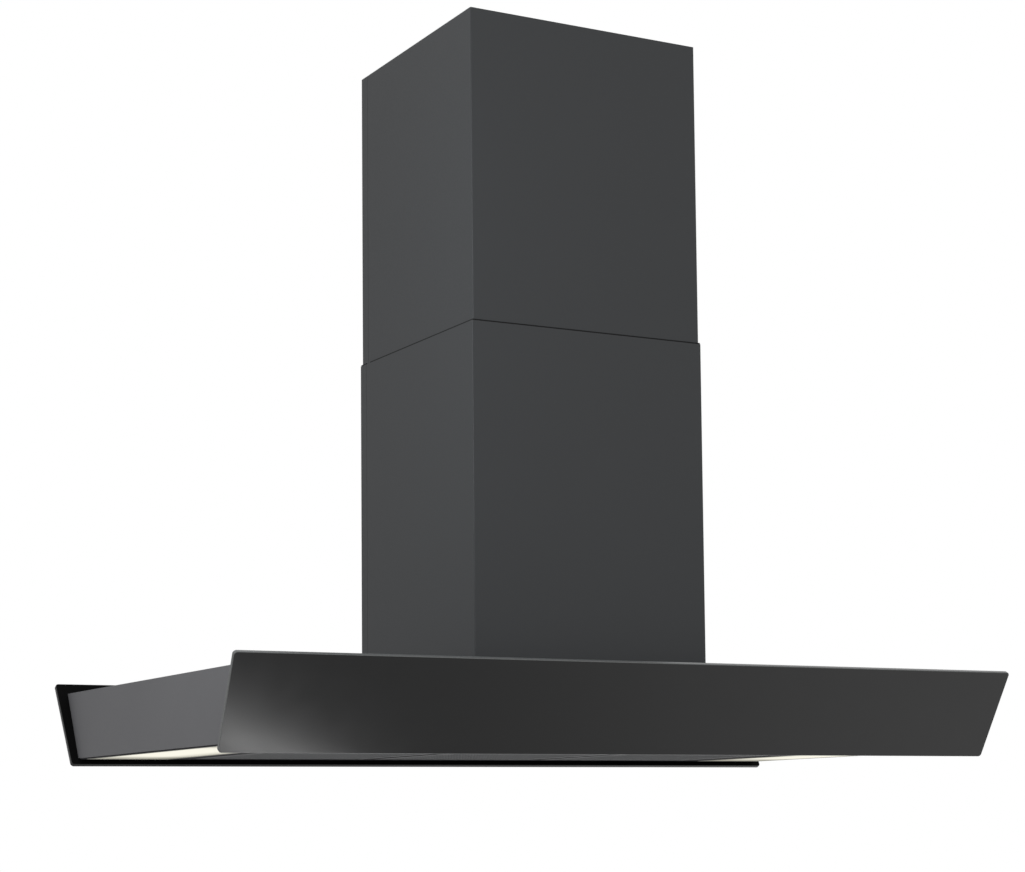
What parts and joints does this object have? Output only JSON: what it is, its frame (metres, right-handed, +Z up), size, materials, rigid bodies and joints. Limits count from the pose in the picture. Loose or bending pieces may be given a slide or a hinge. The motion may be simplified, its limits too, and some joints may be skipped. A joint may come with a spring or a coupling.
{
  "type": "island range hood",
  "caption": "Ceiling-hung island range hood: telescopic square chimney over a shallow canopy with two outward-leaning dark glass panels, lit end panels and grease filters beneath.",
  "frame": {"origin": "centre of the ceiling plate, on its top face, where the hood meets the ceiling", "axes": "+Z up into the ceiling, +X along the canopy to the right seen from the front, -Y toward the front glass"},
  "size_m": [0.9998, 0.5994, 0.8697],
  "materials": {
    "anthracite_paint": "satin powder coat",
    "grey_paint": "matte powder coat",
    "dark_glass": "back-painted toughened glass, polished edge",
    "stainless": "brushed",
    "galvanised_steel": "galvanised",
    "zinc_fastener": "zinc plated",
    "aluminium_frame": "satin anodised",
    "aluminium_mesh": "expanded aluminium",
    "black_plastic": "moulded",
    "bezel_plastic": "moulded, fine texture",
    "button_plastic": "moulded",
    "opal_acrylic": "opal, lit from behind",
    "white_paint": "gloss white",
    "circuit_board": "white solder mask",
    "rubber": "moulded"
  },
  "bodies": {
    "ceiling": {"ceiling_plate": "galvanised_steel", "chimney_hangers": "galvanised_steel", "upper_mast_left": "galvanised_steel", "upper_mast_right": "galvanised_steel", "upper_mast_bolts": "zinc_fastener", "mast_clamp_nuts": "zinc_fastener"},
    "upper_chimney": {"upper_chimney_front": "anthracite_paint", "upper_chimney_rear": "anthracite_paint", "upper_chimney_screws": "zinc_fastener"},
    "hood": {"lower_mast_left": "galvanised_steel", "lower_mast_right": "galvanised_steel", "mast_foot_bolts": "zinc_fastener", "lower_chimney_front": "anthracite_paint", "lower_chimney_rear": "anthracite_paint", "lower_chimney_screws": "zinc_fastener", "chimney_base_ring": "galvanised_steel", "canopy_shell": "grey_paint", "left_side_panel": "grey_paint", "right_side_panel": "grey_paint", "front_glass": "dark_glass", "rear_glass": "dark_glass", "glass_rails": "aluminium_frame", "underside_frame": "stainless", "left_diffuser": "opal_acrylic", "right_diffuser": "opal_acrylic", "left_lamp_tray": "white_paint", "right_lamp_tray": "white_paint", "left_led_board": "circuit_board", "right_led_board": "circuit_board", "button_bezel": "bezel_plastic", "switch_block": "black_plastic", "scroll_front_half": "black_plastic", "scroll_rear_half": "black_plastic", "motor": "galvanised_steel", "motor_bracket": "galvanised_steel", "motor_grommets": "rubber", "bracket_screws": "zinc_fastener", "intake_box": "galvanised_steel", "outlet_adapter": "black_plastic", "damper_pin": "galvanised_steel", "control_box": "black_plastic", "cable_gland": "black_plastic"},
    "rotor": {"impeller": "black_plastic", "motor_shaft": "galvanised_steel"},
    "flap_left": {"damper_flap_left": "black_plastic"},
    "flap_right": {"damper_flap_right": "black_plastic"},
    "filter_1": {"filter_frame_1": "aluminium_frame", "filter_mesh_1": "aluminium_mesh"},
    "latch_1": {"filter_latch_1": "bezel_plastic"},
    "filter_2": {"filter_frame_2": "aluminium_frame", "filter_mesh_2": "aluminium_mesh"},
    "latch_2": {"filter_latch_2": "bezel_plastic"},
    "filter_3": {"filter_frame_3": "aluminium_frame", "filter_mesh_3": "aluminium_mesh"},
    "latch_3": {"filter_latch_3": "bezel_plastic"},
    "button_1": {"push_button_1": "button_plastic"},
    "button_2": {"push_button_2": "button_plastic"},
    "button_3": {"push_button_3": "button_plastic"},
    "button_4": {"push_button_4": "button_plastic"},
    "button_5": {"push_button_5": "button_plastic"}
  },
  "joints": [
    {"name": "height_adjust", "type": "slide", "parent": "ceiling", "child": "hood", "axis": [0, 0, 1], "range_m": [0, 0.15]},
    {"name": "upper_chimney_slide", "type": "slide", "parent": "ceiling", "child": "upper_chimney", "axis": [0, 0, 1], "range_m": [-0.19, 0]},
    {"name": "filter_1_swing", "type": "hinge", "parent": "hood", "child": "filter_1", "pos_m": [-0.24, 0.20763, -0.8555], "axis": [1, 0, 0], "range_deg": [0, 80]},
    {"name": "filter_1_latch", "type": "slide", "parent": "filter_1", "child": "latch_1", "axis": [0, 1, 0], "range_m": [0, 0.006], "stiffness_N_per_m": 150, "springref_m": -0.004},
    {"name": "filter_2_swing", "type": "hinge", "parent": "hood", "child": "filter_2", "pos_m": [0, 0.20763, -0.8555], "axis": [1, 0, 0], "range_deg": [0, 80]},
    {"name": "filter_2_latch", "type": "slide", "parent": "filter_2", "child": "latch_2", "axis": [0, 1, 0], "range_m": [0, 0.006], "stiffness_N_per_m": 150, "springref_m": -0.004},
    {"name": "filter_3_swing", "type": "hinge", "parent": "hood", "child": "filter_3", "pos_m": [0.24, 0.20763, -0.8555], "axis": [1, 0, 0], "range_deg": [0, 80]},
    {"name": "filter_3_latch", "type": "slide", "parent": "filter_3", "child": "latch_3", "axis": [0, 1, 0], "range_m": [0, 0.006], "stiffness_N_per_m": 150, "springref_m": -0.004},
    {"name": "impeller_spin", "type": "hinge", "parent": "hood", "child": "rotor", "pos_m": [-0.012, 0, -0.65], "axis": [0, -1, 0], "continuous": true},
    {"name": "damper_left", "type": "hinge", "parent": "hood", "child": "flap_left", "pos_m": [0.04, 0, -0.466], "axis": [0, 1, 0], "range_deg": [0, 80]},
    {"name": "damper_right", "type": "hinge", "parent": "hood", "child": "flap_right", "pos_m": [0.04, 0, -0.466], "axis": [0, -1, 0], "range_deg": [0, 80]},
    {"name": "button_1_press", "type": "slide", "parent": "hood", "child": "button_1", "axis": [0, 0, 1], "range_m": [0, 0.002], "stiffness_N_per_m": 300, "springref_m": -0.002},
    {"name": "button_2_press", "type": "slide", "parent": "hood", "child": "button_2", "axis": [0, 0, 1], "range_m": [0, 0.002], "stiffness_N_per_m": 300, "springref_m": -0.002},
    {"name": "button_3_press", "type": "slide", "parent": "hood", "child": "button_3", "axis": [0, 0, 1], "range_m": [0, 0.002], "stiffness_N_per_m": 300, "springref_m": -0.002},
    {"name": "button_4_press", "type": "slide", "parent": "hood", "child": "button_4", "axis": [0, 0, 1], "range_m": [0, 0.002], "stiffness_N_per_m": 300, "springref_m": -0.002},
    {"name": "button_5_press", "type": "slide", "parent": "hood", "child": "button_5", "axis": [0, 0, 1], "range_m": [0, 0.002], "stiffness_N_per_m": 300, "springref_m": -0.002}
  ]
}
